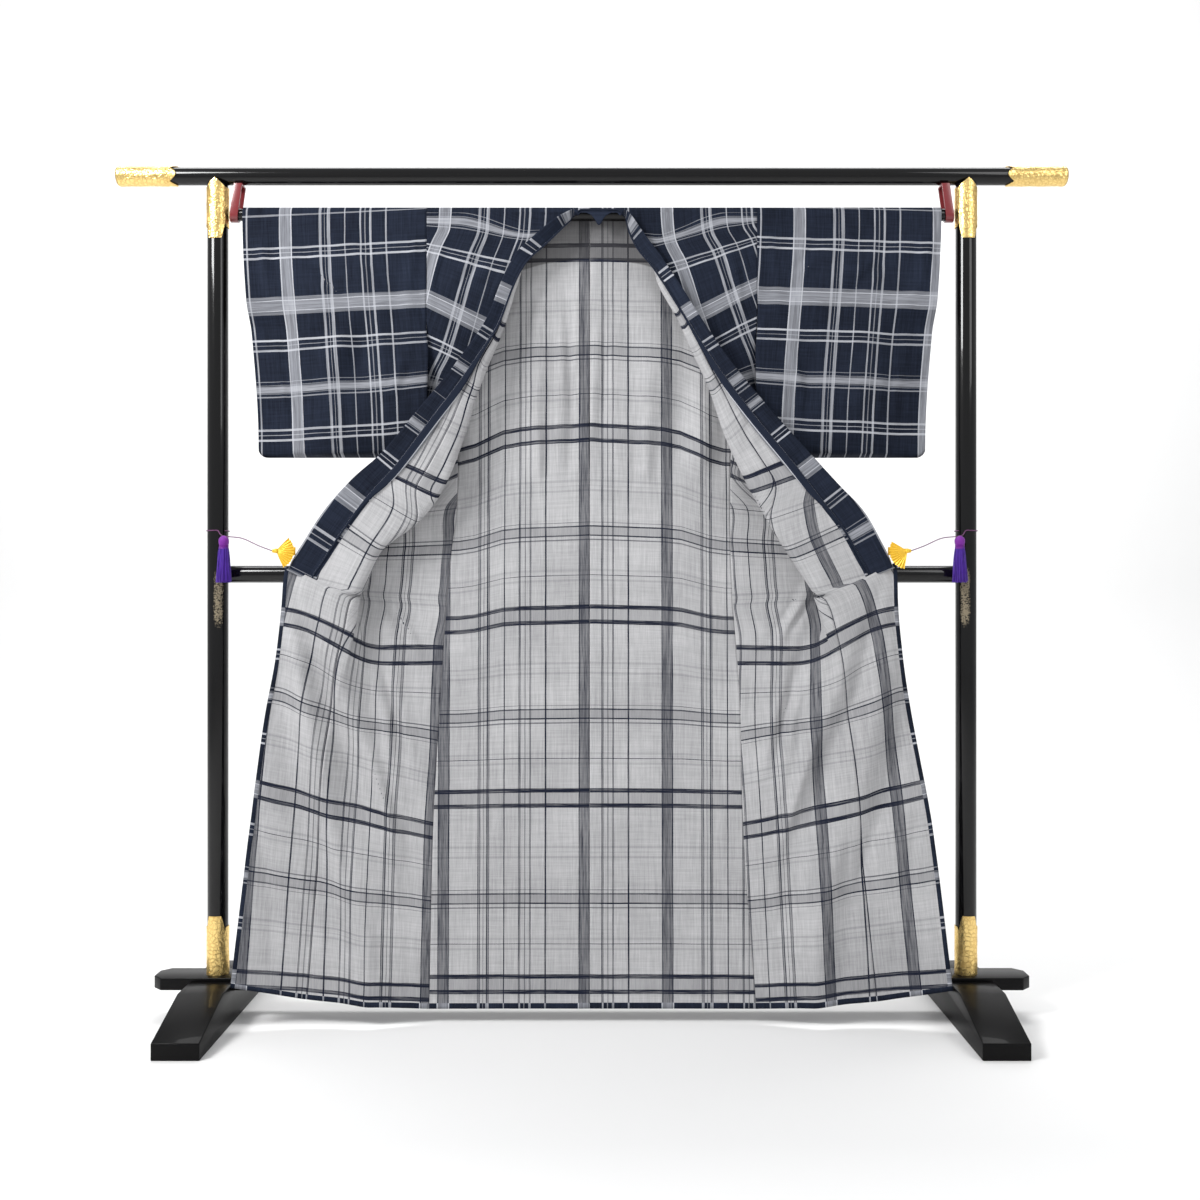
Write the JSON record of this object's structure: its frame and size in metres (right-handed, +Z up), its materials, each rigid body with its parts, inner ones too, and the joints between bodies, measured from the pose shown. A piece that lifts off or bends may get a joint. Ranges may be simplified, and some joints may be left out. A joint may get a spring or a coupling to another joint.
{
  "type": "kimono on a kimono stand",
  "caption": "Unlined checked cotton kimono hung open over the rod of a black lacquered kimono stand, its fronts drawn wide by cords with fan clips and tassels.",
  "frame": {"origin": "on the floor, in the middle between the two feet, under the posts", "axes": "+X to the right as the open front is seen, +Y to the back, +Z up"},
  "size_m": [1.88, 0.508, 1.678],
  "materials": {
    "checked_cotton": "plain-weave cotton, navy with a pale check, pale with a dark check on the reverse",
    "black_lacquer": "black gloss lacquer",
    "gold_metal": "polished gold",
    "gold_fan": "bright yellow gold, pleated",
    "red_strap": "dark red lacquer",
    "purple_cord": "twisted silk cord",
    "violet_silk": "silk thread"
  },
  "bodies": {
    "root": {"collar": "checked_cotton", "top_bar": "black_lacquer", "hanging_rod": "black_lacquer", "middle_rail": "black_lacquer", "lower_plank": "black_lacquer", "body_left": "checked_cotton", "body_right": "checked_cotton", "okumi_left": "checked_cotton", "okumi_right": "checked_cotton", "sleeve_left": "checked_cotton", "sleeve_right": "checked_cotton", "post_left": "black_lacquer", "post_right": "black_lacquer", "foot_left": "black_lacquer", "foot_right": "black_lacquer", "bar_cap_left": "gold_metal", "bar_cap_right": "gold_metal", "post_top_fitting_left": "gold_metal", "post_top_fitting_right": "gold_metal", "post_foot_fitting_left": "gold_metal", "post_foot_fitting_right": "gold_metal", "rod_hook_left": "red_strap", "rod_hook_right": "red_strap", "fan_clip_left": "gold_fan", "fan_clip_right": "gold_fan", "clip_jaw_left": "gold_fan", "clip_jaw_right": "gold_fan", "cord_left": "purple_cord", "cord_right": "purple_cord", "tassel_left": "violet_silk", "tassel_right": "violet_silk"}
  },
  "joints": []
}
